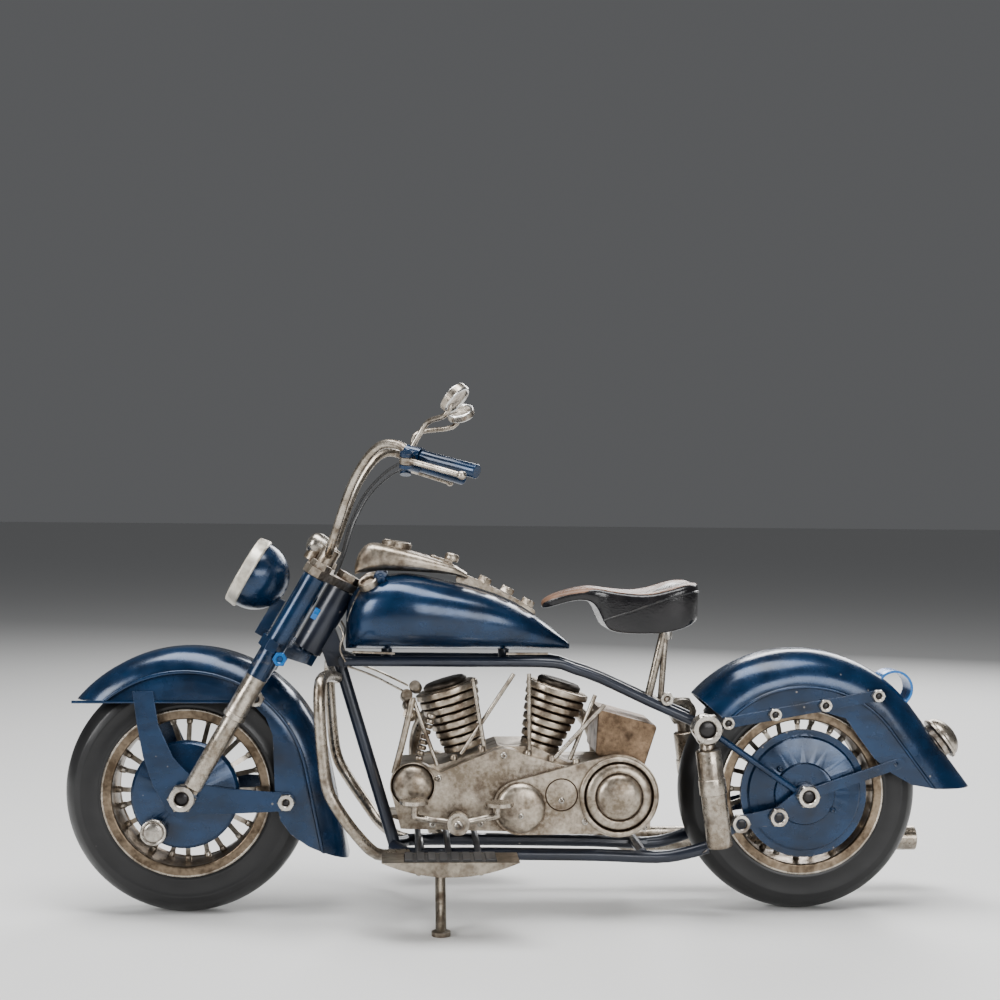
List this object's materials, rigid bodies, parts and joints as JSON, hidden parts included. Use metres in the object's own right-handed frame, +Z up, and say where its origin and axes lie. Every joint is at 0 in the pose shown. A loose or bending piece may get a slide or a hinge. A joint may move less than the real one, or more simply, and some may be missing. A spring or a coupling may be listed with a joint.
{
  "type": "toy motorcycle",
  "caption": "Hand-built tin cruiser motorcycle with spoked wheels, twin-cylinder engine, teardrop tank, padded saddle, footboards, steering fork and folding side stand.",
  "frame": {"origin": "on the ground under the middle of the whole machine's bounding box, on the centre plane of the wheels", "axes": "+Z up, -X forward (the front wheel is at -X, the tail lamp at +X), -Y is the rider's left side, the side with the stand"},
  "size_m": [0.2623, 0.1098, 0.1501],
  "materials": {
    "black_paint": "black enamel, satin",
    "blue_paint": "deep metallic blue enamel, lightly worn at the edges",
    "bolt_silver": "zinc-bright hex nuts",
    "bright_blue": "brighter translucent blue lacquer",
    "cable": "black sleeve",
    "grip": "black rubber sleeve",
    "lens": "cream face",
    "mirror_face": "polished disc",
    "pad": "black ribbed mat",
    "pewter": "antique silver plate with brown patina in the hollows",
    "plate": "dull silver plate, handled",
    "saddle_side": "black glossy leather side",
    "saddle_top": "brown leather top with a bronze sheen",
    "spoke": "flat silver strip, browned towards the hub",
    "tail_red": "blue enamel housing",
    "tyre": "smooth black rubber, dusty"
  },
  "bodies": {
    "frame": {"frame_neck": "black_paint", "top_rails": "black_paint", "cradle": "black_paint", "rear_stays": "blue_paint", "fuel_tank_left": "blue_paint", "fuel_tank_right": "blue_paint", "tank_console": "pewter", "crankcase": "pewter", "primary_cover": "pewter", "clutch_dome": "pewter", "generator_cap": "pewter", "timing_cover": "pewter", "front_cylinder": "pewter", "rear_cylinder": "pewter", "cylinder_heads": "pewter", "pushrods": "plate", "exhaust_pipes": "plate", "muffler": "plate", "oil_tank": "black_paint", "saddle": "saddle_top", "saddle_skirt": "saddle_side", "seat_post": "plate", "rear_fender": "blue_paint", "rear_struts": "blue_paint", "strap_nuts": "bolt_silver", "tail_lamp": "tail_red", "grab_strap": "bright_blue", "rear_shocks": "plate", "shock_bolt": "bolt_silver", "rear_axle": "bolt_silver", "rear_brake_plate": "blue_paint", "footboards": "plate", "board_pads": "pad", "engine_guards": "plate"},
    "steering": {"steering_stem": "plate", "upper_clamp": "pewter", "fork_covers": "blue_paint", "fork_legs": "plate", "front_axle": "bolt_silver", "front_fender": "blue_paint", "front_stays": "blue_paint", "front_brake_drum": "plate", "headlight_shell": "blue_paint", "headlight_lens": "lens", "handlebar": "plate", "grips": "grip", "control_bodies": "blue_paint", "mirrors": "mirror_face", "control_cables": "cable"},
    "front_wheel": {"front_tyre": "tyre", "front_rim": "plate", "front_spokes": "spoke"},
    "rear_wheel": {"rear_tyre": "tyre", "rear_rim": "plate", "rear_spokes": "spoke"},
    "gear_pedal": {"rocker_pedal": "plate"},
    "stand": {"side_stand": "plate"},
    "left_lever": {"clutch_lever": "plate"},
    "right_lever": {"brake_lever": "plate"}
  },
  "joints": [
    {"name": "steering_turn", "type": "hinge", "parent": "frame", "child": "steering", "pos_m": [-0.058, 0, 0.084], "axis": [0.4924, 0, 0.8704], "range_deg": [-24, 24]},
    {"name": "front_wheel_spin", "type": "hinge", "parent": "steering", "child": "front_wheel", "pos_m": [-0.0963, 0, 0.035], "axis": [0, 1, 0], "continuous": true},
    {"name": "rear_wheel_spin", "type": "hinge", "parent": "frame", "child": "rear_wheel", "pos_m": [0.0807, 0, 0.035], "axis": [0, 1, 0], "continuous": true},
    {"name": "stand_fold", "type": "hinge", "parent": "frame", "child": "stand", "pos_m": [-0.0242, -0.0132, 0.0146], "axis": [0, -1, 0], "range_deg": [0, 82]},
    {"name": "gear_pedal_rock", "type": "hinge", "parent": "frame", "child": "gear_pedal", "pos_m": [-0.0195, -0.0218, 0.0288], "axis": [0, 1, 0], "range_deg": [-8, 8]},
    {"name": "clutch_squeeze", "type": "hinge", "parent": "steering", "child": "left_lever", "pos_m": [-0.0349, -0.04358, 0.12908], "axis": [0.045, -0.3235, 0.9452], "range_deg": [0, 6]},
    {"name": "brake_squeeze", "type": "hinge", "parent": "steering", "child": "right_lever", "pos_m": [-0.0349, 0.04358, 0.12908], "axis": [-0.045, -0.3235, -0.9452], "range_deg": [0, 6]}
  ]
}
